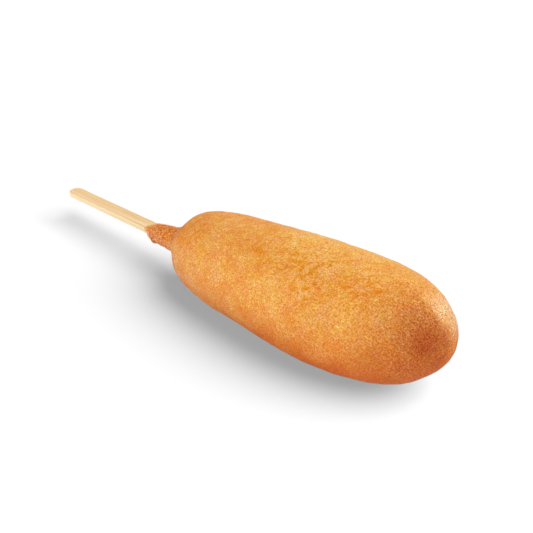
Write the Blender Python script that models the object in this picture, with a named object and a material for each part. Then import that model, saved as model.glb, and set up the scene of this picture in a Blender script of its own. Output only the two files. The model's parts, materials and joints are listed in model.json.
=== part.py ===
"""A corn dog: a sausage fried in batter on a flat wooden stick, lying on its side.

Metres, +Z up. +X runs from the stick's bare end to the tip of the food. The origin is under the
middle of the whole thing's box, on the surface that it lies on.
"""

import math

import bmesh
import bpy
import numpy as np

MM = 0.001

# The food is a barrel that rounds off blunt at its tip and turns in sharply to a neck at the stick.
FOOD_MIDDLE = (34.9 * MM, -0.35 * MM, 19.15 * MM)  # halfway between the neck's root and the tip
FOOD_LENGTH = 109 * MM  # from the neck's root to the tip
FOOD_RADIUS = 20 * MM  # at the widest ring
WIDEST_AT = 0.65  # share of the length, counted from the neck's root
NECK_END_TAPER = 0.33  # share of the radius that the barrel would lose by the neck's root
TIP_END_TAPER = 0.35  # the same by the tip, before it is rounded off
TIP_POWER = 5.3  # how tightly the tip rounds off
SHOULDER_SLOPE = math.radians(51)  # of the cone that joins the barrel to the neck
SHOULDER_ROUNDING = 4 * MM  # softening between the barrel and that cone
FOOD_BEND = 4 * MM  # how far both ends lie to +Y of the middle
FOOD_TILT = math.radians(2)  # how far the neck end hangs lower than the tip
FOOD_SIDES = 48
BARREL_RINGS = 46

# The neck is the collar of batter that runs out along the stick, with a slanted lip.
NECK_LENGTH = 17.5 * MM  # from its root to the middle of its lip
NECK_ROOT_RADIUS = 4.9 * MM
NECK_LIP_RADIUS = 4.1 * MM
NECK_LIP_SAG = (-0.3 * MM, -0.4 * MM)  # in Y and Z: the batter ran down before it set
NECK_LIP_SLANT = 0.8  # run along the stick for each unit of height; the underside ends first
NECK_FILLET = 1.5 * MM  # softening between the neck and the cone
NECK_BLEND = 3 * MM  # how softly the rings' centres pass from the food's line to the stick's
NECK_RINGS = 9

# The stick is a flat slat with rounded ends. It runs into the food.
STICK_LENGTH = 140 * MM
STICK_WIDTH = 5.4 * MM
STICK_THICKNESS = 2.1 * MM
STICK_OUTSIDE = 70 * MM  # from the neck's root to the bare end
STICK_SIDE_OFFSET = -0.5 * MM  # in Y, from the food's line to the stick's line at the neck's root
STICK_DROP = 2.3 * MM  # how far the stick's line lies below the food's line at the neck's root
STICK_YAW = math.radians(-4)
STICK_END_LENGTH = 3 * MM  # how long the rounding of each end is
STICK_END_SEGMENTS = 14
STICK_EDGE_RADIUS = 0.3 * MM

SLOT_GAP = 0.3 * MM  # between the stick and the food, all round
TABLE_CUTTER_DEPTH = 10 * MM

FRIED_BATTER = ("fried_batter", (0.78, 0.38, 0.11, 1), 0.5)
BARE_WOOD = ("bare_wood", (0.85, 0.62, 0.36, 1), 0.6)


def make_material(name, colour, roughness):
    material = bpy.data.materials.new(name)
    material.use_nodes = True
    shader = material.node_tree.nodes["Principled BSDF"]
    shader.inputs["Base Color"].default_value = colour
    shader.inputs["Roughness"].default_value = roughness
    shader.inputs["Metallic"].default_value = 0
    return material


def add_object(name, mesh):
    thing = bpy.data.objects.new(name, mesh)
    bpy.context.scene.collection.objects.link(thing)
    return thing


def food_line(x):
    """Points on the food's middle line, a parabola in plan that slopes down to the neck."""
    y = FOOD_BEND * (2 * x / FOOD_LENGTH) ** 2
    z = math.tan(FOOD_TILT) * x
    return np.array(FOOD_MIDDLE) + np.stack([x, y, z], axis=1)


def stick_direction():
    """The unit vector along the stick, from its bare end into the food."""
    level = math.cos(FOOD_TILT)
    return np.array([level * math.cos(STICK_YAW), level * math.sin(STICK_YAW), math.sin(FOOD_TILT)])


def neck_root():
    """The point of the stick's line at the neck's root."""
    line_end = food_line(np.array([-FOOD_LENGTH / 2]))[0]
    return line_end + np.array([0, STICK_SIDE_OFFSET, -STICK_DROP])


def rounded_smaller(a, b, softening):
    """The smaller of two values, with a hyperbola in place of the corner where they cross."""
    return (a + b - np.hypot(a - b, softening)) / 2


def food_radius(x):
    """Radius of the food at x from its middle, without the neck.

    From the widest ring the barrel falls off with the square of the distance both ways. At the
    neck it turns into a cone. At the tip the radius is multiplied by the root of one minus a
    power of the distance, which closes it with a round end.
    """
    widest = (WIDEST_AT - 0.5) * FOOD_LENGTH
    back = (widest - x) / (widest + FOOD_LENGTH / 2)
    front = np.clip((x - widest) / (FOOD_LENGTH / 2 - widest), 0, 1)
    barrel = FOOD_RADIUS * (1 - NECK_END_TAPER * back**2)
    cone = NECK_ROOT_RADIUS + math.tan(SHOULDER_SLOPE) * (x + FOOD_LENGTH / 2)
    neck_side = rounded_smaller(barrel, cone, SHOULDER_ROUNDING)
    tip_side = FOOD_RADIUS * (1 - TIP_END_TAPER * front**2) * np.sqrt(1 - front**TIP_POWER)
    return np.where(x < widest, neck_side, tip_side)


def food_rings():
    """Stations from the lip to just short of the tip: centres, radii and how near the lip each is.

    On the neck's half, the radius is the larger of the food's and the neck's, with the corner
    between them softened, and the centre passes from the food's line to the stick's.
    """
    root = -FOOD_LENGTH / 2
    neck_x = np.linspace(root - NECK_LENGTH, root, NECK_RINGS, endpoint=False)
    turn = np.linspace(0, math.pi, BARREL_RINGS, endpoint=False)
    barrel_x = root + FOOD_LENGTH * (1 - np.cos(turn)) / 2
    x = np.concatenate([neck_x, barrel_x])

    towards_lip = np.clip((root - x) / NECK_LENGTH, 0, 1)
    neck_radius = NECK_ROOT_RADIUS + (NECK_LIP_RADIUS - NECK_ROOT_RADIUS) * towards_lip
    plain_radius = food_radius(x)
    with_neck = -rounded_smaller(-plain_radius, -neck_radius, NECK_FILLET)
    radius = np.where(x < 0, with_neck, plain_radius)
    excess = neck_radius - plain_radius
    neck_share = np.where(x < 0, (1 + excess / np.hypot(excess, NECK_BLEND)) / 2, 0)

    direction = stick_direction()
    stick_line = neck_root() + (x - root)[:, None] * direction / direction[0]
    sag = np.array([0, *NECK_LIP_SAG]) * towards_lip[:, None]
    centre = food_line(x) + neck_share[:, None] * (stick_line + sag - food_line(x))
    return centre, radius, towards_lip


def food_mesh():
    """The whole food as rings of points square to its middle line, closed at the lip and the tip."""
    centre, radius, towards_lip = food_rings()
    tip = food_line(np.array([FOOD_LENGTH / 2]))
    along = np.gradient(np.concatenate([centre, tip]), axis=0)[:-1]
    along /= np.linalg.norm(along, axis=1)[:, None]
    across = np.cross([0, 0, 1], along)
    across /= np.linalg.norm(across, axis=1)[:, None]
    upward = np.cross(along, across)

    angle = np.linspace(0, 2 * math.pi, FOOD_SIDES, endpoint=False)
    out = np.cos(angle)[:, None] * across[:, None] + np.sin(angle)[:, None] * upward[:, None]
    rings = centre[:, None] + radius[:, None, None] * out
    slant = -NECK_LIP_SLANT * towards_lip[:, None] * radius[:, None] * np.sin(angle)
    rings = rings + slant[:, :, None] * along[:, None]

    count = len(rings)
    index = np.arange(count * FOOD_SIDES).reshape(count, FOOD_SIDES)
    turned = np.roll(index, -1, axis=1)
    walls = np.stack([index[:-1], turned[:-1], turned[1:], index[1:]], axis=-1).reshape(-1, 4)
    tip_index = count * FOOD_SIDES
    tip_fan = [[int(a), int(b), tip_index] for a, b in zip(index[-1], turned[-1])]
    lip_face = [index[0][::-1].tolist()]

    mesh = bpy.data.meshes.new("battered_food")
    points = np.concatenate([rings.reshape(-1, 3), tip])
    mesh.from_pydata(points.tolist(), [], walls.tolist() + tip_fan + lip_face)
    mesh.update()
    mesh.shade_smooth()
    mesh.set_sharp_from_angle(angle=math.radians(40))
    return mesh


def slat_mesh(name, grow):
    """A flat slat along X with half-ellipse ends, grown on every side; x = 0 is the neck's root."""
    half_width = STICK_WIDTH / 2 + grow
    end_length = STICK_END_LENGTH + grow
    half_thickness = STICK_THICKNESS / 2 + grow
    bare_end = -STICK_OUTSIDE - grow
    inner_end = STICK_LENGTH - STICK_OUTSIDE + grow

    angle = np.linspace(-math.pi / 2, math.pi / 2, STICK_END_SEGMENTS + 1)
    inner = np.stack([inner_end - end_length * (1 - np.cos(angle)), half_width * np.sin(angle)], 1)
    bare = np.stack([bare_end + end_length * (1 - np.cos(angle)), -half_width * np.sin(angle)], 1)
    outline = np.concatenate([inner, bare])

    shape = bmesh.new()
    corners = [shape.verts.new((x, y, -half_thickness)) for x, y in outline]
    bottom = shape.faces.new(corners)
    grown = bmesh.ops.extrude_face_region(shape, geom=[bottom])
    top_corners = [part for part in grown["geom"] if isinstance(part, bmesh.types.BMVert)]
    bmesh.ops.translate(shape, verts=top_corners, vec=(0, 0, 2 * half_thickness))
    bmesh.ops.recalc_face_normals(shape, faces=shape.faces)
    mesh = bpy.data.meshes.new(name)
    shape.to_mesh(mesh)
    shape.free()
    return mesh


def place_on_stick_line(thing):
    """Puts a slat on the stick's line, flat side up."""
    thing.location = neck_root()
    thing.rotation_euler = (0, -FOOD_TILT, STICK_YAW)


def make_cutter(name, mesh):
    cutter = add_object(name, mesh)
    cutter.hide_render = True
    cutter.display_type = "WIRE"
    return cutter


def cut(thing, cutter):
    boolean = thing.modifiers.new("cut by " + cutter.name, "BOOLEAN")
    boolean.operation = "DIFFERENCE"
    boolean.object = cutter


def make_stick():
    stick = add_object("stick", slat_mesh("stick", 0))
    place_on_stick_line(stick)
    stick.data.materials.append(make_material(*BARE_WOOD))
    edge = stick.modifiers.new("softened edges", "BEVEL")
    edge.width = STICK_EDGE_RADIUS
    edge.segments = 2
    edge.limit_method = "ANGLE"
    edge.angle_limit = math.radians(60)


def make_food():
    food = add_object("battered_food", food_mesh())
    food.data.materials.append(make_material(*FRIED_BATTER))

    slot_cutter = make_cutter("slot_cutter", slat_mesh("slot_cutter", SLOT_GAP))
    place_on_stick_line(slot_cutter)
    cut(food, slot_cutter)

    box = bmesh.new()
    bmesh.ops.create_cube(box, size=1)
    size = (2 * FOOD_LENGTH, 4 * FOOD_RADIUS, TABLE_CUTTER_DEPTH)
    bmesh.ops.scale(box, verts=box.verts, vec=size)
    table_mesh = bpy.data.meshes.new("table_cutter")
    box.to_mesh(table_mesh)
    box.free()
    table_cutter = make_cutter("table_cutter", table_mesh)
    table_cutter.location = (FOOD_MIDDLE[0], FOOD_MIDDLE[1], -TABLE_CUTTER_DEPTH / 2)
    cut(food, table_cutter)


for old in list(bpy.data.objects):
    bpy.data.objects.remove(old)
make_stick()
make_food()
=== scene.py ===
"""A corn dog: a sausage fried in cornmeal batter on a flat birch stick, on a plain studio floor.

Metres, +Z up. +X runs from the stick's bare end to the tip of the food. The food and the stick are
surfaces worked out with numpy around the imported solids. The file is laid out as a Blender add-on:
each piece has its operator, its settings are in the sidebar, and main() makes everything.
"""

import itertools
import json
import math

import bmesh
import bpy
import numpy as np
from bpy.props import FloatProperty, FloatVectorProperty, PointerProperty
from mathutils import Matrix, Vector

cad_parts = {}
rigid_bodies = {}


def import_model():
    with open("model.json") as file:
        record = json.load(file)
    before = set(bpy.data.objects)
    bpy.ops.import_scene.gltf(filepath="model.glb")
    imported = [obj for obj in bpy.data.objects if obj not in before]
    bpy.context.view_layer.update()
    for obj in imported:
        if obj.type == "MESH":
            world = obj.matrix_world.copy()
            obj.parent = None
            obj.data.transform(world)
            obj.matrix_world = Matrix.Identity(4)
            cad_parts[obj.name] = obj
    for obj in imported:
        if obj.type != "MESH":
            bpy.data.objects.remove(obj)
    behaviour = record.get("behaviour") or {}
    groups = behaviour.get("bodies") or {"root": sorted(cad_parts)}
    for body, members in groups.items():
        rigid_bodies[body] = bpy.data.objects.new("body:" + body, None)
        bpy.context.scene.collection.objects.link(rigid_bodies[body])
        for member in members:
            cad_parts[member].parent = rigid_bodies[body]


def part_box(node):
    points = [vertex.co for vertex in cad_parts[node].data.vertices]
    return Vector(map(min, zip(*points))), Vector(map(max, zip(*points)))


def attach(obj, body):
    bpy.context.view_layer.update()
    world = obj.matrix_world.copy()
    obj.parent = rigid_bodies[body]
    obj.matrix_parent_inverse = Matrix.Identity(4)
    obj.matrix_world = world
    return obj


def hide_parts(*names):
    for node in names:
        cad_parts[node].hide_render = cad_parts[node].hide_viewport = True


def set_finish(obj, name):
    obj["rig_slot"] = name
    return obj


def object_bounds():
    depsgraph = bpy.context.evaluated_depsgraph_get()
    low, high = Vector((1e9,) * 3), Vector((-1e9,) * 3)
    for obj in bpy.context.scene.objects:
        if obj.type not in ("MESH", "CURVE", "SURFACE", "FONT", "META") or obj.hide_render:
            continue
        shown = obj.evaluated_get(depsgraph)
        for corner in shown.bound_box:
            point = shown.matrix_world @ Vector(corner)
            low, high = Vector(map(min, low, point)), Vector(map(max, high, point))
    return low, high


bl_info = {
    "name": "Corn dog",
    "version": (1, 0, 0),
    "blender": (4, 5, 0),
    "location": "3D View > Sidebar > Corn dog",
    "description": "Makes a battered, fried sausage on a flat stick, and a stage around it",
    "category": "Add Mesh",
}

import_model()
CAD_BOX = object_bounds()
FOOD_LOW, FOOD_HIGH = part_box("battered_food")

MM = 0.001
TURN = 2 * math.pi
WELD_DISTANCE = 0.0005 * MM


def linear(hex_colour):
    """The linear red, green and blue of an sRGB hex colour such as "#E8A25C"."""
    srgb = np.array([int(hex_colour[i : i + 2], 16) for i in (1, 3, 5)]) / 255
    values = np.where(srgb <= 0.04045, srgb / 12.92, ((srgb + 0.055) / 1.055) ** 2.4)
    return tuple(values.tolist())


class FoodSettings(bpy.types.PropertyGroup):
    """Sizes and colours of the battered food."""

    length: FloatProperty(
        name="Length", description="From the neck's root to the tip",
        default=109 * MM, subtype="DISTANCE")
    radius: FloatProperty(
        name="Radius", description="Of the widest ring",
        default=20 * MM, subtype="DISTANCE")
    widest_at: FloatProperty(
        name="Widest at", description="Place of the widest ring, as a share of the length",
        default=0.65, subtype="FACTOR")
    neck_taper: FloatProperty(
        name="Taper to the neck", description="Share of the radius lost by the neck's root",
        default=0.33, subtype="FACTOR")
    tip_taper: FloatProperty(
        name="Taper to the tip", description="Share of the radius lost by the tip",
        default=0.35, subtype="FACTOR")
    tip_power: FloatProperty(
        name="Tip power", description="How tightly the tip rounds off", default=5.3)
    shoulder_slope: FloatProperty(
        name="Shoulder slope", description="Of the cone that joins the barrel to the neck",
        default=math.radians(44), subtype="ANGLE")
    shoulder_radius: FloatProperty(
        name="Shoulder radius", description="Of that cone at the neck's root",
        default=6.9 * MM, subtype="DISTANCE")
    shoulder_rounding: FloatProperty(
        name="Shoulder rounding", description="Softening between the barrel and that cone",
        default=4 * MM, subtype="DISTANCE")
    bend: FloatProperty(
        name="Bend", description="How far both ends lie to +Y of the middle",
        default=4 * MM, subtype="DISTANCE")
    tilt: FloatProperty(
        name="Tilt", description="How far the neck end hangs lower than the tip",
        default=math.radians(2), subtype="ANGLE")
    neck_length: FloatProperty(
        name="Neck length", description="How far the batter runs out along the stick",
        default=19.6 * MM, subtype="DISTANCE")
    neck_radius: FloatProperty(
        name="Neck radius", description="Of the neck at its root",
        default=4.62 * MM, subtype="DISTANCE")
    neck_fillet: FloatProperty(
        name="Neck fillet", description="Softening between the neck and the cone",
        default=2 * MM, subtype="DISTANCE")
    lump_height: FloatProperty(
        name="Lumps", description="Height of the broad lumps",
        default=0.35 * MM, subtype="DISTANCE")
    ripple_height: FloatProperty(
        name="Ripples", description="Height of the ripples some millimetres apart",
        default=0.12 * MM, subtype="DISTANCE")
    grain_height: FloatProperty(
        name="Grain", description="Height of the sandy cornmeal grain",
        default=0.032 * MM, subtype="DISTANCE")
    crease_depth: FloatProperty(
        name="Creases", description="Depth of the short creases on top",
        default=0.15 * MM, subtype="DISTANCE")
    crust_colour: FloatVectorProperty(
        name="Crust", description="Golden tan of most of the crust",
        default=linear("#E59B49"), subtype="COLOR", size=3)
    amber_colour: FloatVectorProperty(
        name="Amber", description="Where more oil stayed in the crust, and in its creases",
        default=linear("#E08A14"), subtype="COLOR", size=3)
    # Also painted light: round the oily spot, adding to its highlight, and in the seam at the
    # neck's root.
    golden_and_light_colour: FloatVectorProperty(
        name="Golden", description="Pale crust along the top and in the seam at the neck",
        default=linear("#EDB25E"), subtype="COLOR", size=3)
    dry_colour: FloatVectorProperty(
        name="Dry streaks", description="Straw yellow of the driest batter",
        default=linear("#F4B850"), subtype="COLOR", size=3)
    brown_colour: FloatVectorProperty(
        name="Browned", description="Red-brown of the tip",
        default=linear("#AC501A"), subtype="COLOR", size=3)
    collar_colour: FloatVectorProperty(
        name="Collar", description="Orange-brown of the neck",
        default=linear("#DD8139"), subtype="COLOR", size=3)
    # Partly a painted reflection: the pale surroundings seen on the grazing lower side.
    pale_sheen_colour: FloatVectorProperty(
        name="Pale", description="Pinkish, least fried crust low beside the neck",
        default=linear("#DC9A68"), subtype="COLOR", size=3)
    scorched_colour: FloatVectorProperty(
        name="Scorched", description="Darker flecks on the neck",
        default=linear("#BC5C1C"), subtype="COLOR", size=3)
    film_colour: FloatVectorProperty(
        name="Thin lip", description="Pale amber of the thin batter with the wood behind it",
        default=linear("#ECAE5C"), subtype="COLOR", size=3)
    # Also painted shade: laid on where the surface faces down.
    deep_colour: FloatVectorProperty(
        name="Deep fried", description="Red-orange of the underside and the tip",
        default=linear("#CC6416"), subtype="COLOR", size=3)


class StickSettings(bpy.types.PropertyGroup):
    """Sizes and colours of the flat stick."""

    length: FloatProperty(
        name="Length", description="Of the whole stick",
        default=140 * MM, subtype="DISTANCE")
    outside: FloatProperty(
        name="Outside", description="From the neck's root to the bare end",
        default=70.3 * MM, subtype="DISTANCE")
    width: FloatProperty(
        name="Width", description="Of the flat sides", default=5.6 * MM, subtype="DISTANCE")
    thickness: FloatProperty(
        name="Thickness", description="Between the flat sides",
        default=2.35 * MM, subtype="DISTANCE")
    edge_radius: FloatProperty(
        name="Edge radius", description="Of the tumbled edges",
        default=0.35 * MM, subtype="DISTANCE")
    end_length: FloatProperty(
        name="End length", description="How long the rounding of each end is",
        default=2.6 * MM, subtype="DISTANCE")
    side_offset: FloatProperty(
        name="Side offset", description="In Y, from the food's line at the neck's root",
        default=-0.5 * MM, subtype="DISTANCE")
    drop: FloatProperty(
        name="Drop", description="Below the food's line at the neck's root",
        default=2.3 * MM, subtype="DISTANCE")
    yaw: FloatProperty(
        name="Yaw", description="Turn of the stick in plan",
        default=math.radians(-3.65), subtype="ANGLE")
    face_colour: FloatVectorProperty(
        name="Flat sides", description="Tan of the sliced flat sides",
        default=linear("#E8C289"), subtype="COLOR", size=3)
    edge_colour: FloatVectorProperty(
        name="Edges", description="Paler cut edges",
        default=linear("#F2DAB0"), subtype="COLOR", size=3)
    border_colour: FloatVectorProperty(
        name="Borders", description="Of the flat sides along the cut edges, rubbed darker",
        default=linear("#E6BD80"), subtype="COLOR", size=3)
    streak_colour: FloatVectorProperty(
        name="Streaks", description="Darker lines of the grain",
        default=linear("#D29C5C"), subtype="COLOR", size=3)


class StageSettings(bpy.types.PropertyGroup):
    """The camera, the floor and the light."""

    azimuth: FloatProperty(
        name="Azimuth", description="Of the camera, turned from -Y to +X",
        default=math.radians(39.355), subtype="ANGLE")
    elevation: FloatProperty(
        name="Elevation", description="Of the camera", default=math.radians(32),
        subtype="ANGLE")
    distance: FloatProperty(
        name="Distance", description="From the camera to the point it looks at",
        default=270.456 * MM, subtype="DISTANCE")
    aim: FloatVectorProperty(
        name="Aim", description="The point looked at, from the middle of the model's box",
        default=(20.98 * MM, 0.145 * MM, 3.06 * MM), subtype="TRANSLATION", size=3)
    focal_length: FloatProperty(
        name="Focal length", description="In millimetres, on a sensor 36 mm wide", default=55)
    key_direction: FloatVectorProperty(
        name="Key light from", description="Direction to the light that only the floor gets",
        default=(0.62, 0.16, 0.77), subtype="DIRECTION", size=3)
    key_spread: FloatProperty(
        name="Key spread", description="Angle that the key light fills",
        default=math.radians(55), subtype="ANGLE")
    key_strength: FloatProperty(
        name="Key strength", description="Of the key light, in W/m2", default=7.4)
    rim_direction: FloatVectorProperty(
        name="Rim light from", description="Direction to the light that the floor doesn't get",
        default=(0.42, 0.82, 0.40), subtype="DIRECTION", size=3)
    rim_spread: FloatProperty(
        name="Rim spread", description="Angle that the rim light fills",
        default=math.radians(28), subtype="ANGLE")
    rim_strength: FloatProperty(
        name="Rim strength", description="Of the rim light, in W/m2", default=1.95)
    front_direction: FloatVectorProperty(
        name="Front light from", description="Direction to the light from the front",
        default=(0.47, -0.74, 0.50), subtype="DIRECTION", size=3)
    front_spread: FloatProperty(
        name="Front spread", description="Angle that the front light fills",
        default=math.radians(60), subtype="ANGLE")
    front_strength: FloatProperty(
        name="Front strength", description="Of the front light, in W/m2", default=1.85)
    dome_spread: FloatProperty(
        name="Dome spread", description="Angle that the overhead light fills",
        default=math.radians(150), subtype="ANGLE")
    dome_strength: FloatProperty(
        name="Dome strength", description="Of the overhead light, in W/m2", default=1.3)
    room_strength: FloatProperty(
        name="Room strength", description="Of the even light from all round", default=0.2)
    floor_colour: FloatVectorProperty(
        name="Floor", description="Matt white paper",
        default=(0.38, 0.38, 0.38), subtype="COLOR", size=3)


# ---- Meshes -----------------------------------------------------------------------------------


def make_piece(name, points, faces, body, node, slot_name, material, attributes=None):
    """A smooth mesh object with its float attributes, riding on a body in place of a CAD node."""
    mesh = bpy.data.meshes.new(name)
    mesh.from_pydata(points.tolist(), [], faces)
    for attribute_name, values in (attributes or {}).items():
        attribute = mesh.attributes.new(attribute_name, "FLOAT", "POINT")
        attribute.data.foreach_set("value", values.astype(np.float32).ravel())
    weld(mesh)
    mesh.shade_smooth()
    mesh.materials.append(material)
    piece = bpy.data.objects.new(name, mesh)
    bpy.context.scene.collection.objects.link(piece)
    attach(piece, body)
    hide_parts(node)
    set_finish(piece, slot_name)
    return piece


def weld(mesh):
    """Joins the points that lie on each other, as along the middle line of a flat side."""
    shape = bmesh.new()
    shape.from_mesh(mesh)
    bmesh.ops.remove_doubles(shape, verts=shape.verts, dist=WELD_DISTANCE)
    shape.to_mesh(mesh)
    shape.free()


def grid_faces(rows, columns):
    """Quads of a grid of points, row after row, whose last column meets its first."""
    index = np.arange(rows * columns).reshape(rows, columns)
    turned = np.roll(index, -1, axis=1)
    quads = np.stack([index[:-1], index[1:], turned[1:], turned[:-1]], axis=-1)
    return quads.reshape(-1, 4).tolist()


def pole_faces(pole, ring, outward):
    """Triangles from a pole to a ring of points, wound so that they face outward or inward."""
    turned = np.roll(ring, -1)
    pairs = (ring, turned) if outward else (turned, ring)
    return np.stack([np.full(len(ring), pole), *pairs], axis=-1).tolist()


def lattice_noise(points, cell, seed):
    """Smooth random numbers, mostly from -1 to 1, one for each point.

    Space is divided into cubes. Each corner has a random direction, and gives the part of the
    point's offset from it that lies along that direction. The eight are blended with weights
    6t^5 - 15t^4 + 10t^3.
    """
    random = np.random.default_rng(seed)
    table_size = 1024
    spread = 1.7  # brings the blended parts to a range of about -1 to 1
    directions = random.normal(size=(table_size, 3))
    directions /= np.linalg.norm(directions, axis=1)[:, None]
    shuffle = random.permutation(table_size)
    scaled = points / cell
    base = np.floor(scaled).astype(np.int64)
    inside = scaled - base
    blend = inside**3 * (inside * (inside * 6 - 15) + 10)
    total = np.zeros(points.shape[:-1])
    for corner in itertools.product((0, 1), repeat=3):
        lattice = base + corner
        key = np.zeros(points.shape[:-1], np.int64)
        for axis in range(3):
            key = shuffle[(key + lattice[..., axis]) % table_size]
        value = (directions[key] * (inside - corner)).sum(axis=-1)
        total += value * np.where(corner, blend, 1 - blend).prod(axis=-1)
    return spread * total


def layered_noise(points, layers):
    """The sum of several noises, each given as its cell, its amount and its seed."""
    return sum(amount * lattice_noise(points, cell, seed) for cell, amount, seed in layers)


def bell(apart, width):
    """1 where apart is 0, falling off both ways: e to the power of -(apart / width)^2."""
    return np.exp(-((apart / width) ** 2))


def smooth_step(low, high, value):
    """0 below low, 1 above high, and 3t^2 - 2t^3 between them. low may be above high."""
    t = np.clip((value - low) / (high - low), 0, 1)
    return t * t * (3 - 2 * t)


def rounded_smaller(a, b, softening):
    """The smaller of two values, with a hyperbola in place of the corner where they cross."""
    return (a + b - np.hypot(a - b, softening)) / 2


def rounded_larger(a, b, softening):
    """The larger of two values, with a hyperbola in place of the corner where they cross."""
    return (a + b + np.hypot(a - b, softening)) / 2


def unit(vectors):
    """Vectors of length 1 in the same directions."""
    return vectors / np.maximum(np.linalg.norm(vectors, axis=-1), 1e-12)[..., None]


# ---- The lines and rings that the food and the stick share ------------------------------------

TIP_OVERHANG = 0.13 * MM  # how far the tilted tip stands past the end of the food's line
NECK_BLEND = (10 * MM, -4 * MM)  # where the rings' middles pass from the food's line to the stick's
SLAT_POWER = 9  # of the superellipse that is the stick's cross-section with its tumbled edges


def food_line(food, x):
    """Points on the food's middle line, x from its middle.

    In plan it is a parabola, bend * (2x / length)^2. It slopes down to the neck. It is placed so
    that the widest ring fills the solid's width and reaches its top.
    """
    widest = (food.widest_at - 0.5) * food.length
    middle = np.array([
        FOOD_HIGH.x - food.length / 2 - TIP_OVERHANG,
        (FOOD_LOW.y + FOOD_HIGH.y) / 2 - food.bend * (2 * widest / food.length) ** 2,
        FOOD_HIGH.z - food.radius - math.tan(food.tilt) * widest,
    ])
    y = food.bend * (2 * x / food.length) ** 2
    z = math.tan(food.tilt) * x
    return middle + np.stack([x, y, z], axis=-1)


def stick_frame(food, stick):
    """The stick's point at the neck's root, and its unit vectors along, across and up."""
    root = food_line(food, np.array(-food.length / 2))
    root = root + np.array([0, stick.side_offset, -stick.drop])
    along = np.array([
        math.cos(food.tilt) * math.cos(stick.yaw),
        math.cos(food.tilt) * math.sin(stick.yaw),
        math.sin(food.tilt),
    ])
    across = unit(np.cross([0, 0, 1], along))
    return root, along, across, np.cross(along, across)


def plain_radius(food, x):
    """Radius of the food at x from its middle, without the neck.

    From the widest ring the barrel falls off with the square of the distance both ways. At the
    neck it turns into a cone. At the tip the radius is multiplied by the root of one minus a
    power of the distance, which closes it with a round end.
    """
    half = food.length / 2
    widest = (food.widest_at - 0.5) * food.length
    back = (widest - x) / (widest + half)
    front = np.clip((x - widest) / (half - widest), 0, 1)
    barrel = food.radius * (1 - food.neck_taper * back**2)
    cone = food.shoulder_radius + math.tan(food.shoulder_slope) * (x + half)
    neck_side = rounded_smaller(barrel, cone, food.shoulder_rounding)
    round_end = np.sqrt(np.maximum(1 - front**food.tip_power, 0))
    tip_side = food.radius * (1 - food.tip_taper * front**2) * round_end
    return np.where(x < widest, neck_side, tip_side)


def slat_radius(stick, angle, grow):
    """Distance from the stick's middle to its surface: the polar form of a superellipse."""
    across = np.abs(np.cos(angle)) / (stick.width / 2 + grow)
    up = np.abs(np.sin(angle)) / (stick.thickness / 2 + grow)
    return (across**SLAT_POWER + up**SLAT_POWER) ** (-1 / SLAT_POWER)


# ---- The battered food ------------------------------------------------------------------------

FOOD_ROWS = 268  # from the tip to the neck's root
NECK_ROWS = 46  # from the neck's root to the lip
SLOT_ROWS = 10  # from the lip to the stick's inner end
FOOD_COLUMNS = 290  # round the food
PROFILE_STEPS = 4000  # in the profile that the rows are spaced along
NECK_CROWDING = 1.6  # the power that crowds the neck's rows towards the lip
SLOT_GAP = 0.1 * MM  # between the stick and the food, inside
BOND_DEPTH = 0.06 * MM  # how deep the lip's edge is set into the wood, so that no gap shows
SLOT_END_LOSS = 0.5  # share of the slot's radius lost by its closed end
FLAT_SOFTENING = 0.12 * MM  # where the food turns up from the flat spot it rests on

NECK_THINNING = 0.07  # loss of the neck's radius for each unit of length towards the lip
NECK_LIFT = 0.35 * MM  # of its middle over the stick's, at its root
NECK_SAG = (-0.018, -0.045)  # drift of its middle in Y and Z for each unit of length
LIP_BEAD = 0.16 * MM  # radius of the lip's rounded edge
LIP_SLOPE = 0.34  # how fast the batter thickens behind the lip
LIP_EXTRA_BELOW = 0.35  # share by which it does so faster on the underside
LIP_WAVES = ((5, 1, 0.25 * MM), (9, 0, 0.18 * MM))  # (waves round the lip, shift, height)
LIP_REACH = ((0.9, -0.8 * MM), (2.45, 0.7 * MM), (3.8, -0.9 * MM))  # (angle, reach) round the lip
LIP_REACH_TURN = 0.55  # how far round each of those bulges goes, in radians
LIP_FORMS = (-1 * MM, 2 * MM)  # depths between which the neck turns into the thin lip
LIP_FADE = 1.2 * MM  # how far behind the lip the relief starts, so that the lip keeps its line
FILM_SOFTENING = 0.3 * MM  # where the thin film leaves the neck
SLOPE_SOFTENING = 0.12 * MM  # where the lip's slope meets the neck

# Swells and hollows of the outline: share of the length, angle from +Y towards up, how far each
# reaches along the food, height.
SWELLS = (
    (0.13, 0.95, 9 * MM, -0.22 * MM),
    (0.40, 1.00, 12 * MM, -0.20 * MM),
    (0.56, 1.00, 6 * MM, 0.20 * MM),
    (0.76, 0.95, 14 * MM, -0.32 * MM),
    (-0.133, -2.45, 1.2 * MM, 0.65 * MM),
    (-0.018, 1.35, 3 * MM, 0.65 * MM),
    (0.03, -2.60, 8 * MM, 0.22 * MM),
    (0.34, -2.35, 9 * MM, -0.75 * MM),
    (0.43, -2.35, 6 * MM, -0.30 * MM),
    (0.60, -2.30, 8 * MM, 0.35 * MM),
    (0.86, -2.15, 8 * MM, 0.20 * MM),
    (0.945, -2.05, 5 * MM, -0.25 * MM),
)
SWELL_TURN = 0.75  # how far round each one reaches, in radians

# The grain's lattice stands askew, so that no side of the food lies along one of its planes.
GRAIN_TURN = np.linalg.qr(np.array([[3.0, 1.0, 2.0], [-1.0, 3.0, 1.0], [1.0, -2.0, 3.0]]))[0]

# Noises of the relief: (cell, share of the height, seed).
RIPPLES = ((6 * MM, 1, 12), (3 * MM, 0.5, 13))
NECK_RIPPLES = ((2.2 * MM, 1, 16), (1.4 * MM, 1, 17))
GRAINS = ((1.1 * MM, 1, 14), (0.8 * MM, 0.6, 15))

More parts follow.
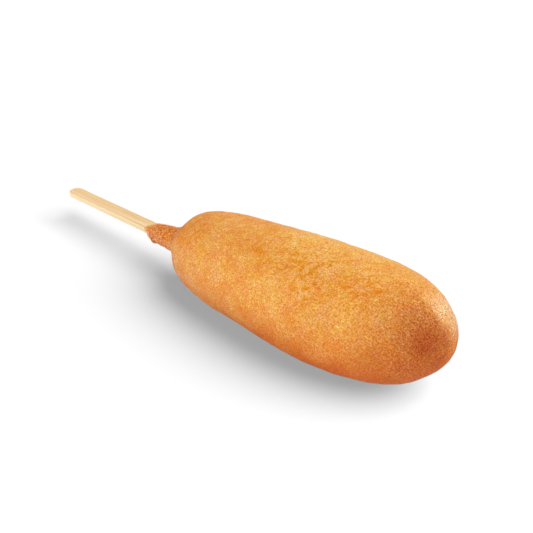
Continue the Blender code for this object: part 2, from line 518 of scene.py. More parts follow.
# The creases run level across the top, at this angle to +X, in this stretch of the food.
CREASE_HEADING = math.radians(39)
CREASE_FROM = (0.25, 0.50)
CREASE_TO = (0.70, 0.92)
CREASE_CELL = 2.6 * MM  # of the noise whose zero lines they are
CREASE_STRETCH = 2.6  # how many times that cell is longer along the heading
CREASE_WIDTH = 0.14  # how far from zero the noise still makes a crease

# Soft spots on the crust: ((share of the length, angle from +Y towards up), radius, amount).
BROWNED_SPOTS = (
    ((0.950, 2.76), 14 * MM, 0.95),
    ((0.70, 2.80), 9 * MM, 0.15),
    ((0.915, 3.15), 15 * MM, 0.62),
    ((0.945, 3.55), 11 * MM, 0.6),
    ((0.985, 2.35), 8 * MM, 0.9),
    ((0.91, 3.85), 13 * MM, 0.6),
    ((-0.145, 3.80), 2.0 * MM, 0.9),
)
SHOULDER_SPOTS = (((0.09, 1.95), 11 * MM, 0.16),)
SOAKED_SPOTS = (
    ((0.62, 2.05), 11 * MM, 1.0),
    ((0.74, 1.95), 10 * MM, 0.8),
    ((0.46, 1.85), 9 * MM, 0.9),
    ((0.11, 2.15), 12 * MM, 1.0),
)
OILY_SPOT = (0.966, 1.42)
OILY_SPOT_RADIUS = 6.6 * MM

# Sides of the food, as angles from +Y towards up.
GOLDEN_SIDE = 1.35  # pale, along the top of the back
SCORCHED_SIDE = 1.9  # the top of the neck, with darker flecks
SOAKED_SIDE = 2.1  # an amber band, in line with the collar's tongue on the shoulder
STRIPE_SIDE = 2.45  # a second, narrow pale band
# The pale side's tint is partly a painted reflection of the pale surroundings.
PALE_SHEEN_SIDE = 3.5  # low beside the neck


def share_along(food, x):
    """x from the food's middle as a share of its length: 0 at the neck's root, 1 at the tip."""
    return x / food.length + 0.5


def turned_away(angle, side):
    """The angle between two directions round the food, 0 to pi."""
    return np.abs(np.angle(np.exp(1j * (angle - side))))


def ring_frame(food, stick, x):
    """Middles of the food's rings, and each ring's unit vectors across and up.

    They lie on the food's line and square to it, and pass to the stick's line at the neck.
    """
    half = food.length / 2
    root, along, _, _ = stick_frame(food, stick)
    share = smooth_step(*NECK_BLEND, x + half)[..., None]
    stick_line = root + (x + half)[..., None] * along / along[0]
    line = food_line(food, x)
    centre = line + share * (stick_line - line)
    step = 0.05 * MM
    line_along = unit(food_line(food, x + step) - food_line(food, x - step))
    ring_along = unit(line_along + share * (along - line_along))
    across = unit(np.cross([0, 0, 1], ring_along))
    return centre, across, np.cross(ring_along, across)


def neck_radius(food, angle, depth):
    """Radius of the neck at an angle, and at a depth from its root towards the lip.

    The neck is a round rod that thins and sags towards the lip, measured from the stick's
    middle: the offset's part along the angle, plus the rest of the rod's own radius.
    """
    rod = food.neck_radius - NECK_THINNING * depth
    sag_y = NECK_SAG[0] * depth
    sag_z = NECK_LIFT + NECK_SAG[1] * depth
    along = sag_y * np.cos(angle) + sag_z * np.sin(angle)
    beside = sag_z * np.cos(angle) - sag_y * np.sin(angle)
    return along + np.sqrt(np.maximum(rod**2 - beside**2, 0))


def lip_depth(food, angle):
    """How far the batter runs out along the stick at each angle: sine waves and bell bulges."""
    reach = food.neck_length
    for waves, shift, height in LIP_WAVES:
        reach = reach + height * np.sin(waves * angle + shift)
    for place, extra in LIP_REACH:
        reach = reach + extra * bell(turned_away(angle, place), LIP_REACH_TURN)
    return reach


def from_lip(food, x, angle):
    """How far behind the lip a place lies, along the stick."""
    return lip_depth(food, angle) + x + food.length / 2


def lip_fade(food, x, angle):
    """0 at the lip, rising to 1 a little behind it."""
    return smooth_step(0, LIP_FADE, from_lip(food, x, angle))


def outer_radius(food, stick, x, angle):
    """Radius of the food and its neck.

    On the neck's half it is the larger of the food's and the neck's, with the corner between
    them softened. Towards the lip the batter over the wood is no thicker than a bead at the
    lip's edge plus a slope behind it.
    """
    depth = -food.length / 2 - x
    neck = neck_radius(food, angle, np.maximum(depth, 0))
    plain = plain_radius(food, x)
    both = np.where(x < 0, rounded_larger(plain, neck, food.neck_fillet), plain)
    wood = slat_radius(stick, angle, 0)
    behind = np.maximum(lip_depth(food, angle) - depth, 0)
    closing = np.minimum(behind / LIP_BEAD, 1)
    bead = np.sqrt(1 - (1 - closing) ** 2) * LIP_BEAD
    under = smooth_step(0.1, -0.7, np.sin(angle))
    over_wood = bead + LIP_SLOPE * (1 + LIP_EXTRA_BELOW * under) * behind
    film = rounded_larger(both - wood, LIP_BEAD * closing, FILM_SOFTENING)
    thickness = rounded_smaller(film, over_wood, SLOPE_SOFTENING)
    near_lip = smooth_step(*LIP_FORMS, depth)
    return both + near_lip * (wood + thickness - both)


def food_grid(food, stick):
    """Rows of points from beside the tip to the lip, and the x and angle that belong to each.

    Down to the neck's root the rows are evenly spaced along the profile. On the neck they follow
    the slanted, uneven lip and get closer towards it: one minus a power of what is left.
    """
    half = food.length / 2
    turn = np.linspace(0, math.pi, PROFILE_STEPS)
    x = half * np.cos(turn)
    radius = plain_radius(food, x)
    travelled = np.concatenate([[0], np.cumsum(np.hypot(np.diff(x), np.diff(radius)))])
    stations = np.linspace(0, travelled[-1], FOOD_ROWS + 1)[1:]
    body_x = np.interp(stations, travelled, x)

    angle = np.linspace(0, TURN, FOOD_COLUMNS, endpoint=False)
    share = np.linspace(0, 1, NECK_ROWS + 1)[1:]
    share = 1 - (1 - share) ** NECK_CROWDING
    neck_x = -half - share[:, None] * lip_depth(food, angle)
    x = np.concatenate([np.repeat(body_x[:, None], FOOD_COLUMNS, axis=1), neck_x])
    angle = np.broadcast_to(angle, x.shape)

    centre, across, up = ring_frame(food, stick, x)
    out = np.cos(angle)[..., None] * across + np.sin(angle)[..., None] * up
    radius = outer_radius(food, stick, x, angle)
    return centre + radius[..., None] * out, x, angle


def grid_normals(points):
    """Outward unit normals of a closed grid: the cross product of its two directions."""
    along = np.gradient(points, axis=0)
    around = np.roll(points, -1, axis=1) - np.roll(points, 1, axis=1)
    return unit(np.cross(along, around))


def crease_field(food, points, x, angle):
    """0 to 1: short curved creases, where a stretched noise crosses zero, broken up by another."""
    level = np.array([math.cos(CREASE_HEADING), math.sin(CREASE_HEADING), 0])
    beside = np.array([-math.sin(CREASE_HEADING), math.cos(CREASE_HEADING), 0])
    turned = np.stack([
        points @ level / CREASE_STRETCH, points @ beside, points[..., 2]], axis=-1)
    line = 1 - np.abs(lattice_noise(turned, CREASE_CELL, seed=31)) / CREASE_WIDTH
    broken = smooth_step(-0.05, 0.35, lattice_noise(points, 5 * MM, seed=32))
    share = share_along(food, x)
    stretch = smooth_step(*CREASE_FROM, share) * smooth_step(*CREASE_TO[::-1], share)
    height = (points[..., 2] - food.radius) / food.radius
    top = smooth_step(0.1, 0.6, height)
    on_neck = smooth_step(0.02, -0.03, share)
    amount = 0.15 + 0.85 * stretch * top + 0.7 * on_neck
    return np.clip(line, 0, 1) * broken * amount * lip_fade(food, x, angle)


def food_relief(food, points, x, angle):
    """Height to add along the normals: bell-shaped swells, and noises for lumps to grain.

    The neck has finer ripples too, and where the crust is rough the grain is up to twice as high.
    """
    share = share_along(food, x)
    height = food.lump_height * lattice_noise(points, 27 * MM, seed=11)
    for place, side, length, swell in SWELLS:
        apart = turned_away(angle, side) / SWELL_TURN
        away = (share - place) * food.length / length
        height = height + swell * np.exp(-(apart**2) - away**2)
    on_neck = smooth_step(0.03, -0.03, share)
    ripple = layered_noise(points, RIPPLES) + on_neck * layered_noise(points, NECK_RIPPLES)
    height = height + food.ripple_height * ripple
    grain = layered_noise(points @ GRAIN_TURN, GRAINS)
    height = height + food.grain_height * grain * (1 + rough_field(food, x))
    return height * lip_fade(food, x, angle)


def away_from(food, points, x, angle, place):
    """The straight distance of every point from the crust's point at (share, angle)."""
    row = np.abs(share_along(food, x[:, 0]) - place[0]).argmin()
    column = np.abs(angle[0] - place[1]).argmin()
    return np.linalg.norm(points - points[row, column], axis=-1)


def spots(food, points, x, angle, places):
    """The strongest at each point of a list of soft round spots: (place, radius, amount)."""
    field = np.zeros(x.shape)
    for place, radius, amount in places:
        away = away_from(food, points, x, angle, place)
        field = np.maximum(field, amount * bell(away, radius))
    return field


def browned_field(food, points, x, angle):
    """0 to 1: the browned near side of the tip, cut off by its ridge, and the lip's drip."""
    near_side = smooth_step(2.5 * MM, -2 * MM, points[..., 1])
    patchy = 1 + 0.2 * lattice_noise(points, 8 * MM, seed=21)
    field = spots(food, points, x, angle, BROWNED_SPOTS)
    return np.clip(field * patchy * (0.35 + 0.65 * near_side), 0, 1)


def deep_fried_and_shade_field(food, points, normals, x, angle):
    """0 to 1: the underside and the tip, which fried longest, and a faint patch on the shoulder.
    Both grow where the surface faces down, so they also carry painted shade.

    The tip's golden side is left out, but for its very end.
    """
    share = share_along(food, x)
    # Partly painted shade: redder and darker where the surface faces down.
    facing_down = smooth_step(0.38, -0.65, normals[..., 2])
    low = facing_down * (0.45 + 0.55 * smooth_step(0.15, 0.55, share))
    golden_side = bell(turned_away(angle, GOLDEN_SIDE), 0.9)
    end = smooth_step(0.955, 0.99, share)
    tip = (0.48 + 0.1 * end) * smooth_step(0.74, 0.92, share) * (1 - golden_side * (1 - end))
    # Painted shade as well: the tip's colour fades where its surface faces up towards the light.
    tip = tip * smooth_step(0.9, -0.2, normals[..., 2])
    shoulder = spots(food, points, x, angle, SHOULDER_SPOTS)
    patchy = 1 + 0.25 * lattice_noise(points, 9 * MM, seed=22)
    return np.clip((1 - (1 - low) * (1 - tip) * (1 - shoulder)) * patchy, 0, 1)


def film_field(food, points, x, angle):
    """0 to 0.75: the last of the batter towards the lip, so thin that the wood shines through."""
    ragged = from_lip(food, x, angle) + 1.1 * MM * lattice_noise(points, 1.8 * MM, seed=29)
    return 0.75 * smooth_step(4.0 * MM, 1.6 * MM, ragged)


def rough_field(food, x):
    """0 to 1: the neck and the tip, whose crust is coarser."""
    share = share_along(food, x)
    return np.maximum(smooth_step(0.06, -0.04, share), 0.9 * smooth_step(0.80, 0.95, share))


def collar_field(food, points, x, angle):
    """0 to 1: the neck, with a ragged edge that reaches onto the shoulder's top."""
    share = share_along(food, x)
    reach = 0.13 * bell(turned_away(angle, SOAKED_SIDE), 0.55)
    ragged = share - reach + 0.02 * lattice_noise(points, 4 * MM, seed=25)
    patchy = np.clip(1 + 0.2 * lattice_noise(points, 3 * MM, seed=26), 0, 1)
    return smooth_step(0.015, -0.08, ragged) * patchy


def scorched_field(points, collar, angle):
    """0 to 1: the neck's upper side, which shows darker flecks."""
    top = bell(turned_away(angle, SCORCHED_SIDE), 1.05)
    patchy = 0.15 + 0.85 * top + 0.3 * lattice_noise(points, 3.5 * MM, seed=28)
    return collar * np.clip(patchy, 0, 1)


def pale_sheen_field(food, points, x, angle):
    """0 to 1: the side low beside the neck, and the neck's lower side, but not where they meet.

    Its pinkish, paler tint is partly paler crust and partly a painted reflection of the pale
    surroundings on this grazing lower side.
    """
    share = share_along(food, x)
    low_side = bell(turned_away(angle, PALE_SHEEN_SIDE), 0.65)
    patchy = 1 + 0.4 * lattice_noise(points, 7 * MM, seed=27)
    junction = bell(share + 0.015, 0.035)
    low_side = low_side * (1 - 0.85 * junction)
    return np.clip(0.85 * low_side * smooth_step(0.42, 0.05, share) * patchy, 0, 1)


def oily_field(food, points, x, angle):
    """0 to 1: the smooth oily spot on the far side of the tip's ridge."""
    away = away_from(food, points, x, angle, OILY_SPOT) / OILY_SPOT_RADIUS
    far_side = smooth_step(-1.5 * MM, 1 * MM, points[..., 1])
    return np.exp(-(away**4)) * far_side


def soaked_field(food, points, x, angle):
    """0 to 1: where the crust soaked up more oil and shows amber flecks."""
    share = share_along(food, x)
    band = 0.45 * bell(turned_away(angle, SOAKED_SIDE), 0.22) * smooth_step(1, 0.85, share)
    field = spots(food, points, x, angle, SOAKED_SPOTS) + band
    return np.clip(field + 0.22 * lattice_noise(points, 11 * MM, seed=24), 0, 1)


def golden_and_painted_light_field(food, points, x, angle):
    """0 to 1: pale crust along the top of the back, a painted highlight round the oily spot, and
    painted light in the seam at the neck's root, a corner that would lie in shade.
    """
    share = share_along(food, x)
    stretch = smooth_step(0.34, 0.52, share) * smooth_step(0.90, 0.74, share)
    side = bell(turned_away(angle, GOLDEN_SIDE), 0.62)
    patchy = 1 + 0.5 * lattice_noise(points, 10 * MM, seed=23)
    stripe = 0.35 * bell(turned_away(angle, STRIPE_SIDE), 0.2)
    # Painted highlight: a lighter colour round the oily spot, adding to its gloss.
    spot = 0.45 * oily_field(food, points, x, angle)
    # Painted light in the concave seam at the neck's root, which would lie in shade.
    seam = 0.7 * bell(share + 0.005, 0.02) * smooth_step(3.6, 2.8, angle)
    return np.clip(stretch * (side + stripe) * patchy + spot + seam, 0, 1)


def food_slot(food, stick, angle):
    """Rows of the slot inside the food, from the lip to beside the stick's inner end.

    The slat's own outline, grown by the gap, is carried straight along the stick and drawn
    together at the closed end. Its first two rows are set into the wood.
    """
    root, along, across, up = stick_frame(food, stick)
    inner_end = stick.length - stick.outside
    lip = -lip_depth(food, angle)
    deep = np.linspace(0, 1, SLOT_ROWS)[:, None]
    place = np.concatenate([lip[None], lip * (1 - deep) + (inner_end - stick.end_length) * deep])
    grow = np.full((len(place), 1), SLOT_GAP)
    grow[:2] = -BOND_DEPTH
    radius = slat_radius(stick, angle, grow)
    closed = smooth_step(inner_end - 2 * stick.end_length, inner_end, place)
    closing = 1 - SLOT_END_LOSS * closed
    out = np.cos(angle)[:, None] * across + np.sin(angle)[:, None] * up
    return root + place[..., None] * along + (radius * closing)[..., None] * out


def food_fields(food, points, normals, x, angle):
    """What the crust's colour and gloss follow, by the names of the mesh's attributes."""
    place = (food, points, x, angle)
    collar = collar_field(*place)
    return {
        "browned": browned_field(*place),
        "deep": deep_fried_and_shade_field(food, points, normals, x, angle),
        "collar": collar,
        "pale": pale_sheen_field(*place),
        "golden": golden_and_painted_light_field(*place),
        "oily": oily_field(*place),
        "soaked": soaked_field(*place),
        "crease": crease_field(*place),
        "film": film_field(*place),
        "rough": rough_field(food, x),
        "scorched": scorched_field(points, collar, angle),
    }


FILLED_IN_SLOT = ("collar", "film")  # the fields that are 1 in the slot, where the others are 0


def food_mesh_data(food, stick):
    """The food as one closed surface: tip, body, neck, lip and the slot round the stick.

    The skin is the plain grid, moved along its normals by the relief less the creases, and kept
    off the ground. A fan of triangles closes it at the tip and at the slot's inner end.
    """
    grid, x, angle = food_grid(food, stick)
    normals = grid_normals(grid)
    fields = food_fields(food, grid, normals, x, angle)
    height = food_relief(food, grid, x, angle) - food.crease_depth * fields["crease"]
    skin = grid + normals * height[..., None]
    skin[..., 2] = rounded_larger(skin[..., 2], np.zeros_like(x), FLAT_SOFTENING)

    slot = food_slot(food, stick, angle[0])
    rows = np.concatenate([skin, slot])
    tip = skin[0].mean(axis=0)
    slot_end = slot[-1].mean(axis=0)
    points = np.concatenate([rows.reshape(-1, 3), [tip, slot_end]])

    count, columns = rows.shape[:2]
    faces = grid_faces(count, columns)
    first_ring = np.arange(columns)
    last_ring = first_ring + (count - 1) * columns
    faces += pole_faces(count * columns, first_ring, True)
    faces += pole_faces(count * columns + 1, last_ring, False)

    for name, values in fields.items():
        inside = float(name in FILLED_IN_SLOT)
        in_slot = np.full(slot.shape[0] * columns, inside)
        poles = [values[0].mean(), inside]
        fields[name] = np.concatenate([values.ravel(), in_slot, poles])
    return points, faces, fields


# ---- The stick --------------------------------------------------------------------------------

STICK_SIDE_POINTS = 170  # along each long side
STICK_END_POINTS = 22  # round each end
STICK_FACE_ROWS = 10  # from the middle line to the edge's rounding, on each flat side
STICK_EDGE_ROWS = 5  # in each rounded edge
STICK_WALL_ROWS = 4  # between the two rounded edges

# Noises of the wood's relief: (cell, height, how many times longer than wide, seed).
WOOD_RELIEF = (
    (0.7 * MM, 0.035 * MM, 60, 41),  # fine ridges along the grain
    (3 * MM, 0.05 * MM, 9, 42),  # shallow waves left by the slicing
)
EDGE_WANDER = 0.06 * MM  # how far the long edges stray from straight
CUT_EDGE_FROM = (0.86, 0.99)  # shares of the way out, between which the cut edge's colour sets in
BORDER_FROM = (0.62, 0.84)  # the same for the rubbed border of the flat sides


def stick_outline(stick):
    """The slat in plan: its edge, and for each point the nearest point of the middle line.

    Two straight sides joined by half ellipses. x runs along the stick from the neck's root.
    """
    half = stick.width / 2
    inner = stick.length - stick.outside - stick.end_length
    bare = -stick.outside + stick.end_length
    quarter = math.pi / 2
    turn = np.linspace(-quarter, quarter, STICK_END_POINTS, endpoint=False)
    straight = np.linspace(0, 1, STICK_SIDE_POINTS, endpoint=False)
    inner_x = inner + stick.end_length * np.cos(turn)
    bare_x = bare - stick.end_length * np.cos(turn)
    edge_x = np.concatenate([
        inner_x, inner + (bare - inner) * straight, bare_x, bare + (inner - bare) * straight])
    edge_y = np.concatenate([
        half * np.sin(turn), np.full(STICK_SIDE_POINTS, half),
        -half * np.sin(turn), np.full(STICK_SIDE_POINTS, -half)])
    middle_x = np.clip(edge_x, bare, inner)
    return edge_x, edge_y, middle_x


def stick_profile(stick):
    """From the top's middle line over the edge to the bottom's: share of the way out, height."""
    edge = stick.edge_radius / (stick.width / 2)
    half = stick.thickness / 2
    out = np.linspace(0, 1 - edge, STICK_FACE_ROWS, endpoint=False)
    turn = np.linspace(0, math.pi / 2, STICK_EDGE_ROWS, endpoint=False)
    wall = np.linspace(half - stick.edge_radius, 0, STICK_WALL_ROWS // 2, endpoint=False)
    share = np.concatenate([out, 1 - edge + edge * np.sin(turn), np.ones(len(wall))])
    height = np.concatenate([
        np.full(len(out), half), half - stick.edge_radius * (1 - np.cos(turn)), wall])
    share = np.concatenate([share, [1], share[::-1]])
    height = np.concatenate([height, [0], -height[::-1]])
    return share, height


def stick_mesh_data(food, stick):
    """The slat: its edge profile carried round its outline, with fine ridges along the grain."""
    edge_x, edge_y, middle_x = stick_outline(stick)
    share, height = stick_profile(stick)
    x = middle_x + share[:, None] * (edge_x - middle_x)
    y = share[:, None] * edge_y
    z = np.broadcast_to(height[:, None], x.shape)
    relief = sum(
        rise * lattice_noise(np.stack([x / stretch, y, z], axis=-1), cell, seed)
        for cell, rise, stretch, seed in WOOD_RELIEF)
    along_only = np.stack([x, 0 * y, 0 * z], axis=-1)
    z = z + relief * np.sign(height)[:, None]
    y = y + EDGE_WANDER * lattice_noise(along_only, 13 * MM, seed=43)

    root, along, across, up = stick_frame(food, stick)
    points = root + x[..., None] * along + y[..., None] * across + z[..., None] * up
    fields = {
        "cut_edge": smooth_step(*CUT_EDGE_FROM, share)[:, None] * np.ones_like(x),
        "border": smooth_step(*BORDER_FROM, share)[:, None] * np.ones_like(x),
    }
    return points.reshape(-1, 3), grid_faces(*x.shape), fields


# ---- Materials --------------------------------------------------------------------------------


def add_node(tree, kind, settings=None, links=None):
    """Adds a node, sets its properties and input values, and links outputs to its inputs."""
    node = tree.nodes.new(kind)
    for name, value in (settings or {}).items():
        if isinstance(name, str) and hasattr(node, name):
            setattr(node, name, value)
        else:
            node.inputs[name].default_value = value
    for name, output in (links or {}).items():
        tree.links.new(output, node.inputs[name])
    return node


def new_material(name, roughness, ior):
    """A material with its Principled shader, which takes the roughness and IOR as they are."""
    material = bpy.data.materials.new(name)
    material.use_nodes = True
    shader = material.node_tree.nodes["Principled BSDF"]
    shader.inputs["Roughness"].default_value = roughness
    shader.inputs["IOR"].default_value = ior
    return material, material.node_tree, shader


def mottle(tree, place, size, detail, low, high):
    """A noise whose features have that real size, stretched so that low to high becomes 0 to 1."""
    texture = add_node(
        tree, "ShaderNodeTexNoise",
        {"Scale": 1 / size, "Detail": detail, "Roughness": 0.6}, {"Vector": place})
    return add_node(
        tree, "ShaderNodeMapRange", {"From Min": low, "From Max": high},
        {"Value": texture.outputs["Fac"]}).outputs["Result"]


def broken_up(tree, field, place, size, detail, low, high):
    """A field that shows only in the patches of a mottle: the product of the two."""
    patches = mottle(tree, place, size, detail, low, high)
    return add_node(
        tree, "ShaderNodeMath", {"operation": "MULTIPLY"},
        {0: field, 1: patches}).outputs["Value"]


def lay_over(tree, colour, layers, blend_type="MIX"):
    """Lays colours over a first one, in turn, by the share that stands with each.

    A share or a colour is an output or plain numbers. Some of a Mix node's sockets have the same
    name, so they are found by number: 0 is the share, 6 and 7 the colours, and 2 the result.
    """
    for share, layer in layers:
        settings = {"data_type": "RGBA", "blend_type": blend_type}
        links = {}
        for socket, value in ((0, share), (6, colour), (7, layer)):
            if isinstance(value, bpy.types.NodeSocket):
                links[socket] = value
            else:
                settings[socket] = value if socket == 0 else (*value, 1)
        colour = add_node(tree, "ShaderNodeMix", settings, links).outputs[2]
    return colour


BUMP_DEPTH = 0.05 * MM  # of the relief that is too fine for the mesh

# What each pattern multiplies the crust's colour by, at its lowest and at its highest.
BLOTCH_SHADES = ((0.99, 0.88, 0.66), (1.01, 1.12, 1.34))  # amber to pale
HUE_SHADES = ((1.00, 0.93, 1.07), (1.00, 1.07, 0.93))  # pinkish to yellow
GRIT_SHADES = ((1.00, 0.97, 0.68), (1.00, 1.03, 1.32))  # yellow to pale
GRAIN_SHADES = ((0.87, 0.60, 0.08), (1.13, 1.40, 1.92))  # brown specks to light ones
ROUGH_SHADES = ((0.80, 0.78, 0.78), (1.20, 1.22, 1.22))  # the same specks again, where it is rough


def fried_cornmeal_batter(food):
    """Deep-fried cornmeal batter: a porous, sandy crust that oil has soaked.

    The eye gets a golden tan with pinkish and amber blotches some millimetres wide, short amber
    and straw-yellow streaks, a fine grain of light and dark specks, an orange-brown neck, a
    red-brown where it fried longest, and a beaded, oily sheen on one spot. Painted into the colour
    as well: shade where the surface faces down, a pinkish reflection low beside the neck, a lighter
    patch that adds to the oily spot's highlight, and light in the seam at the neck's root.
    """
    material, tree, shader = new_material("fried_cornmeal_batter", 0.6, 1.46)
    shader.inputs["Specular IOR Level"].default_value = 0.2
    shader.inputs["Coat Roughness"].default_value = 0.18
    place = add_node(tree, "ShaderNodeTexCoord").outputs["Object"]
    browned, deep, collar, scorched, pale, golden, oily, soaked, crease, film, rough = (
        add_node(tree, "ShaderNodeAttribute", {"attribute_name": name}).outputs["Fac"]
        for name in (
            "browned", "deep", "collar", "scorched", "pale", "golden", "oily", "soaked", "crease",
            "film", "rough"))

    drawn_out = add_node(
        tree, "ShaderNodeMapping",
        {"vector_type": "TEXTURE", "Rotation": (0, 0.15, 0.55), "Scale": (2.6, 1, 1)},
        {"Vector": place}).outputs["Vector"]
    dry = mottle(tree, drawn_out, 1.0 * MM, 2, 0.58, 0.70)
    amber = broken_up(tree, soaked, drawn_out, 1.2 * MM, 3, 0.49, 0.60)
    flecked = broken_up(tree, scorched, place, 1.1 * MM, 2, 0.46, 0.62)
    colour = lay_over(tree, food.crust_colour, (
        # golden also paints a highlight round the oily spot and light in the neck's seam.
        (golden, food.golden_and_light_colour),
        (collar, food.collar_colour),
        # pale is partly a painted pinkish reflection low beside the neck.
        (pale, food.pale_sheen_colour),
        (flecked, food.scorched_colour),
        (dry, food.dry_colour),
        (amber, food.amber_colour),
        (crease, food.amber_colour),
        # deep is partly painted shade: it grows where the surface faces down.
        (deep, food.deep_colour),
        (browned, food.brown_colour),
        (film, food.film_colour),
    ))

    # Cornmeal grit is 0.3 to 0.6 mm. The grain is drawn at 0.4 mm. The grit that stands out from
    # it is drawn at 0.8 mm, coarser than the real one, so that it shows.
    streaked = add_node(
        tree, "ShaderNodeMapping",
        {"vector_type": "TEXTURE", "Rotation": (0, 0.65, 0.2), "Scale": (1.35, 1, 1)},
        {"Vector": place}).outputs["Vector"]
    blotch = mottle(tree, place, 6 * MM, 3, 0.32, 0.68)
    hue = mottle(tree, streaked, 4.5 * MM, 4, 0.34, 0.66)
    grit = mottle(tree, streaked, 0.8 * MM, 1, 0.32, 0.68)
    grain = mottle(tree, streaked, 0.4 * MM, 1, 0.32, 0.68)
    for share, pattern, (low, high) in (
            (1.0, blotch, BLOTCH_SHADES),
            (1.0, hue, HUE_SHADES),
            (1.0, grit, GRIT_SHADES),
            (1.0, grain, GRAIN_SHADES),
            (rough, grain, ROUGH_SHADES)):
        shade = lay_over(tree, low, ((pattern, high),))
        colour = lay_over(tree, colour, ((share, shade),), "MULTIPLY")

    # The relief of the grit is added to the grain's, and is stronger where the crust is rough.
    coarse = add_node(
        tree, "ShaderNodeMapRange", {"To Min": 0.15, "To Max": 1.8}, {"Value": rough})
    height = add_node(
        tree, "ShaderNodeMath", {"operation": "MULTIPLY_ADD"},
        {0: grit, 1: coarse.outputs["Result"], 2: grain})
    bump = add_node(
        tree, "ShaderNodeBump", {"Strength": 0.9, "Distance": BUMP_DEPTH},
        {"Height": height.outputs["Value"]})
    roughness = add_node(
        tree, "ShaderNodeMapRange", {"To Min": 0.66, "To Max": 0.5}, {"Value": oily})
    beaded = broken_up(tree, oily, place, 0.9 * MM, 2, 0.26, 0.48)
    for output, socket in (
            (colour, "Base Color"),
            (roughness.outputs["Result"], "Roughness"),
            (beaded, "Coat Weight"),
            (bump.outputs["Normal"], "Normal"),
            (bump.outputs["Normal"], "Coat Normal")):
        tree.links.new(output, shader.inputs[socket])
    return material


def sliced_birch(food, stick):
    """Sliced and tumbled birch: pale, fine and straight grained, unfinished.

    The eye gets flat tan faces with paler bands and thin darker streaks along them, borders
    rubbed a little darker, and pale cut edges. The pores of birch are about 0.1 mm wide. The
    streaks that they make are drawn 0.8 mm wide, coarser than the real ones, so that they show.
    """
    material, tree, shader = new_material("sliced_birch", 0.6, 1.5)
    place = add_node(tree, "ShaderNodeTexCoord").outputs["Object"]
    cut_edge, border = (
        add_node(tree, "ShaderNodeAttribute", {"attribute_name": name}).outputs["Fac"]
        for name in ("cut_edge", "border"))
    grained = add_node(
        tree, "ShaderNodeMapping",
        {"vector_type": "TEXTURE", "Rotation": (0, -food.tilt, stick.yaw), "Scale": (40, 1, 1)},
        {"Vector": place}).outputs["Vector"]
    streak = mottle(tree, grained, 0.8 * MM, 3, 0.48, 0.85)
    band = mottle(tree, grained, 2.2 * MM, 1, 0.40, 0.62)
    face = lay_over(tree, stick.face_colour, (
        (band, stick.edge_colour), (border, stick.border_colour), (streak, stick.streak_colour)))
    edge = lay_over(tree, stick.edge_colour, ((streak, stick.face_colour),))
    colour = lay_over(tree, face, ((cut_edge, edge),))
    bump = add_node(
        tree, "ShaderNodeBump", {"Strength": 0.3, "Distance": BUMP_DEPTH}, {"Height": streak})
    tree.links.new(colour, shader.inputs["Base Color"])
    tree.links.new(bump.outputs["Normal"], shader.inputs["Normal"])
    return material


def matt_paper(stage):
    """Matt white paper: no gloss, so that only the soft shadow shows on it."""
    material, _, shader = new_material("matt_paper", 0.95, 1.45)
    shader.inputs["Base Color"].default_value = (*stage.floor_colour, 1)
    shader.inputs["Specular IOR Level"].default_value = 0
    return material


# ---- Operators --------------------------------------------------------------------------------


class MakeFood(bpy.types.Operator):
    """Make the battered food: its body, neck and lip in one closed skin"""

    bl_idname = "corn_dog.make_food"
    bl_label = "Battered food"

    def execute(self, context):
        food = context.scene.corn_dog_food
        points, faces, fields = food_mesh_data(food, context.scene.corn_dog_stick)
        make_piece(
            "fried_batter_skin", points, faces, "root", "battered_food", "fried_batter",
            fried_cornmeal_batter(food), fields)
        return {"FINISHED"}


class MakeStick(bpy.types.Operator):
    """Make the flat birch stick"""

    bl_idname = "corn_dog.make_stick"
    bl_label = "Stick"

    def execute(self, context):
        food = context.scene.corn_dog_food
        stick = context.scene.corn_dog_stick
        points, faces, fields = stick_mesh_data(food, stick)
        make_piece(
            "birch_stick", points, faces, "root", "stick", "bare_wood",
            sliced_birch(food, stick), fields)
        return {"FINISHED"}


FLOOR_DROP = 0.02 * MM  # the floor's gap under the food, so that the two don't coincide
FLOOR_FLAT = 2.0  # radius of its flat middle
FLOOR_RISE = 1.2  # radius of the curve that turns it up into a wall
FLOOR_RINGS = (0.3, 1.0)  # radii of two more rings of points in the flat middle
FLOOR_SIDES = 96
FLOOR_CURVE_ROWS = 9
SENSOR_WIDTH = 36  # of the camera, in millimetres
NEAREST_SEEN = 10 * MM  # from the camera


class MakeStage(bpy.types.Operator):
    """Make the floor, the light and the camera"""

    bl_idname = "corn_dog.make_stage"
    bl_label = "Stage"

    def execute(self, context):
        stage = context.scene.corn_dog_stage
        floor = make_floor(stage)
        make_lights(context.scene, stage, floor)
        make_camera(context.scene, stage)
        context.scene.view_settings.view_transform = "Standard"
        return {"FINISHED"}


def make_floor(stage):
    """A round sheet of paper that turns up into a wall far outside: a profile turned about Z."""
    turn = np.linspace(0, math.pi / 2, FLOOR_CURVE_ROWS)
    radius = np.concatenate([FLOOR_RINGS, FLOOR_FLAT + FLOOR_RISE * np.sin(turn)])
    height = np.concatenate([[0, 0], FLOOR_RISE * (1 - np.cos(turn))])
    angle = np.linspace(0, TURN, FLOOR_SIDES, endpoint=False)
    level = np.stack([np.cos(angle), np.sin(angle), 0 * angle], axis=-1)
    rings = radius[:, None, None] * level + np.array([0, 0, 1]) * height[:, None, None]
    points = np.concatenate([rings.reshape(-1, 3), [(0, 0, 0)]])
    points[:, 2] += CAD_BOX[0][2] - FLOOR_DROP
    faces = grid_faces(len(radius), FLOOR_SIDES)
    faces += pole_faces(len(points) - 1, np.arange(FLOOR_SIDES), True)
    mesh = bpy.data.meshes.new("paper_floor")
    mesh.from_pydata(points.tolist(), [], faces)
    mesh.shade_smooth()
    mesh.materials.append(matt_paper(stage))
    floor = bpy.data.objects.new("paper_floor", mesh)
    bpy.context.scene.collection.objects.link(floor)
    return floor


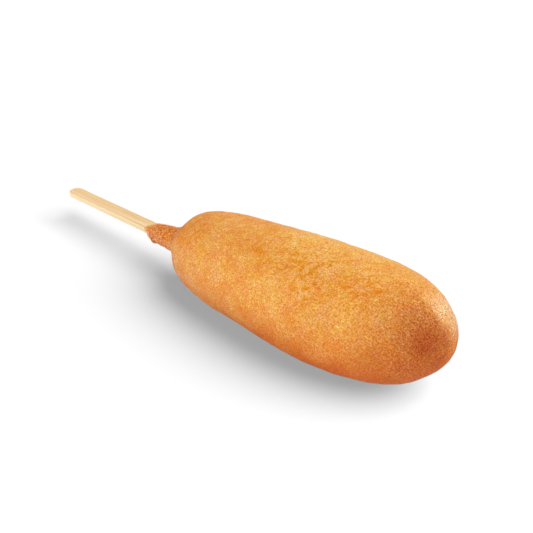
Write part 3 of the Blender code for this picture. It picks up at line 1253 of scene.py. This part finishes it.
def add_light(scene, name, direction, spread, strength, only_on=None):
    """A broad light from one side, even over the whole stage, or only on some objects."""
    lamp = bpy.data.lights.new(name, "SUN")
    lamp.energy = strength
    lamp.angle = spread
    light = bpy.data.objects.new(name, lamp)
    light.rotation_euler = Vector(direction).to_track_quat("Z", "Y").to_euler()
    scene.collection.objects.link(light)
    if only_on:
        lit = bpy.data.collections.new(name + "_lit")
        for thing in only_on:
            lit.objects.link(thing)
        light.light_linking.receiver_collection = lit


def make_lights(scene, stage, floor):
    """An even room, a dome overhead, a front light, a key light and a rim light.

    The key light falls on the floor only, where it throws the shadow. The rim light falls on the
    food and the stick only, from behind. The two throw no colour of their own on the floor or on
    each other.
    """
    world = bpy.data.worlds.new("even_room")
    world.use_nodes = True
    world.node_tree.nodes["Background"].inputs["Strength"].default_value = stage.room_strength
    world.node_tree.nodes["Background"].inputs["Color"].default_value = (1, 1, 1, 1)
    scene.world = world
    pieces = [piece for piece in scene.objects if "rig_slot" in piece]
    add_light(scene, "key", stage.key_direction, stage.key_spread, stage.key_strength, [floor])
    add_light(scene, "rim", stage.rim_direction, stage.rim_spread, stage.rim_strength, pieces)
    add_light(scene, "front", stage.front_direction, stage.front_spread, stage.front_strength)
    add_light(scene, "dome", (0, 0, 1), stage.dome_spread, stage.dome_strength)
    for piece in pieces:
        piece.visible_diffuse = False


def make_camera(scene, stage):
    """A camera that looks at its aim from its azimuth, elevation and distance."""
    low, high = (np.array(corner) for corner in CAD_BOX)
    aim = (low + high) / 2 + np.array(stage.aim)
    back = Vector((
        math.sin(stage.azimuth) * math.cos(stage.elevation),
        -math.cos(stage.azimuth) * math.cos(stage.elevation),
        math.sin(stage.elevation),
    ))
    lens = bpy.data.cameras.new("camera")
    lens.lens = stage.focal_length
    lens.sensor_width = SENSOR_WIDTH
    lens.clip_start = NEAREST_SEEN
    camera = bpy.data.objects.new("camera", lens)
    camera.location = Vector(aim) + stage.distance * back
    camera.rotation_euler = back.to_track_quat("Z", "Y").to_euler()
    scene.collection.objects.link(camera)
    scene.camera = camera


class CornDogPanel(bpy.types.Panel):
    """The pieces and their settings, in the 3D view's sidebar"""

    bl_idname = "VIEW3D_PT_corn_dog"
    bl_label = "Corn dog"
    bl_space_type = "VIEW_3D"
    bl_region_type = "UI"
    bl_category = "Corn dog"

    def draw(self, context):
        groups = (
            (MakeFood, context.scene.corn_dog_food),
            (MakeStick, context.scene.corn_dog_stick),
            (MakeStage, context.scene.corn_dog_stage),
        )
        for operator, settings in groups:
            box = self.layout.box()
            box.operator(operator.bl_idname)
            for name in settings.__annotations__:
                box.prop(settings, name)


CLASSES = (
    FoodSettings, StickSettings, StageSettings, MakeFood, MakeStick, MakeStage, CornDogPanel)


def register():
    for each in CLASSES:
        bpy.utils.register_class(each)
    bpy.types.Scene.corn_dog_food = PointerProperty(type=FoodSettings)
    bpy.types.Scene.corn_dog_stick = PointerProperty(type=StickSettings)
    bpy.types.Scene.corn_dog_stage = PointerProperty(type=StageSettings)


def unregister():
    del bpy.types.Scene.corn_dog_stage
    del bpy.types.Scene.corn_dog_stick
    del bpy.types.Scene.corn_dog_food
    for each in reversed(CLASSES):
        bpy.utils.unregister_class(each)


def main():
    register()
    bpy.ops.corn_dog.make_food()
    bpy.ops.corn_dog.make_stick()
    bpy.ops.corn_dog.make_stage()


if __name__ == "__main__":
    main()
